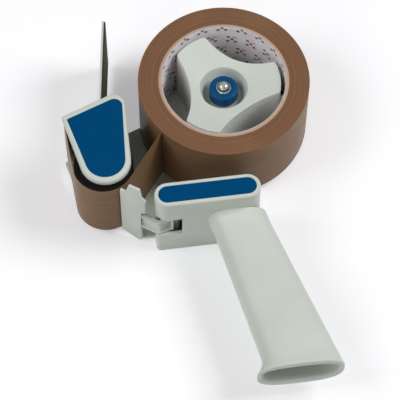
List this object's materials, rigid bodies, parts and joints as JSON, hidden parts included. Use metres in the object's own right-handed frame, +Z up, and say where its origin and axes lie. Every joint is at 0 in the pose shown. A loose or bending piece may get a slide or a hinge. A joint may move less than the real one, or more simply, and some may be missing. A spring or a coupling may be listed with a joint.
{
  "type": "packing tape dispenser",
  "caption": "Hand-held dispenser for wide packing tape: hollow grip, three-lobed braked hub, rubber guide roller under a cover, cutter bridge, flap and sprung retainer lever.",
  "frame": {"origin": "on the axis of the tape roll, at the lower face of the back plate", "axes": "+Z up from the plate along the roll's axis, +X along the grip housing to its closed end, -Y to the open end of the handle"},
  "size_m": [0.1556, 0.2425, 0.0663],
  "materials": {
    "white_plastic": "satin off-white moulded plastic",
    "blue_plastic": "satin deep blue plastic",
    "steel": "zinc-plated",
    "chrome": "polished",
    "nylon": "natural nylon",
    "rubber": "matt black",
    "friction_fibre": "pressed fibre",
    "card": "wound card, printed inside",
    "brown_tape": "satin brown film"
  },
  "bodies": {
    "frame": {"back_plate": "white_plastic", "housing": "white_plastic", "housing_inlay": "blue_plastic", "handle": "white_plastic", "handle_screws": "steel", "front_cover": "white_plastic", "cover_inlay": "blue_plastic", "cover_screws": "steel", "axle_screw": "steel", "bridge": "white_plastic", "cutter_blade": "steel", "blade_screws": "steel", "plate_screws": "steel", "roller_axle": "steel", "flap_pin": "steel", "flap_spring": "steel", "retainer_pin": "steel", "retainer_spring": "steel", "spindle": "steel", "brake_washer": "friction_fibre", "brake_spring": "steel", "tape_web": "brown_tape"},
    "roll": {"hub": "white_plastic", "hub_bush": "nylon", "tape_core": "card", "tape_roll": "brown_tape"},
    "roller": {"roller_core": "nylon", "roller_bushes": "nylon", "roller_sleeve": "rubber"},
    "washer": {"thrust_washer": "steel"},
    "knob": {"tension_knob": "blue_plastic", "dome_nut": "chrome"},
    "lever": {"retainer_lever": "white_plastic"},
    "flap": {"flap_carrier": "white_plastic", "wiper_pad": "rubber"}
  },
  "joints": [
    {"name": "roll_spin", "type": "hinge", "parent": "frame", "child": "roll", "pos_m": [0, 0, 0], "axis": [0, 0, 1], "continuous": true},
    {"name": "roller_spin", "type": "hinge", "parent": "frame", "child": "roller", "pos_m": [-0.08001, -0.05, 0], "axis": [0, 0, 1], "continuous": true},
    {"name": "washer_slide", "type": "slide", "parent": "frame", "child": "washer", "axis": [0, 0, 1], "range_m": [-0.001, 0.001], "deforming": ["brake_spring"]},
    {"name": "knob_turn", "type": "hinge", "parent": "washer", "child": "knob", "pos_m": [0, 0, 0], "axis": [0, 0, 1], "range_deg": [-361, 361]},
    {"name": "lever_pivot", "type": "hinge", "parent": "frame", "child": "lever", "pos_m": [-0.04, -0.074, 0], "axis": [0, 0, 1], "range_deg": [0, 12], "stiffness_Nm_per_rad": 0.03, "springref_deg": -17.19},
    {"name": "flap_swing", "type": "hinge", "parent": "frame", "child": "flap", "pos_m": [-0.07703, -0.00843, 0], "axis": [0, 0, 1], "range_deg": [-20, 20], "stiffness_Nm_per_rad": 0.02}
  ],
  "couplings": [
    {"joint": "roller_spin", "follows": "roll_spin", "ratio": -2.8267},
    {"joint": "knob_turn", "follows": "washer_slide", "rad_per_m": 6283.2}
  ]
}
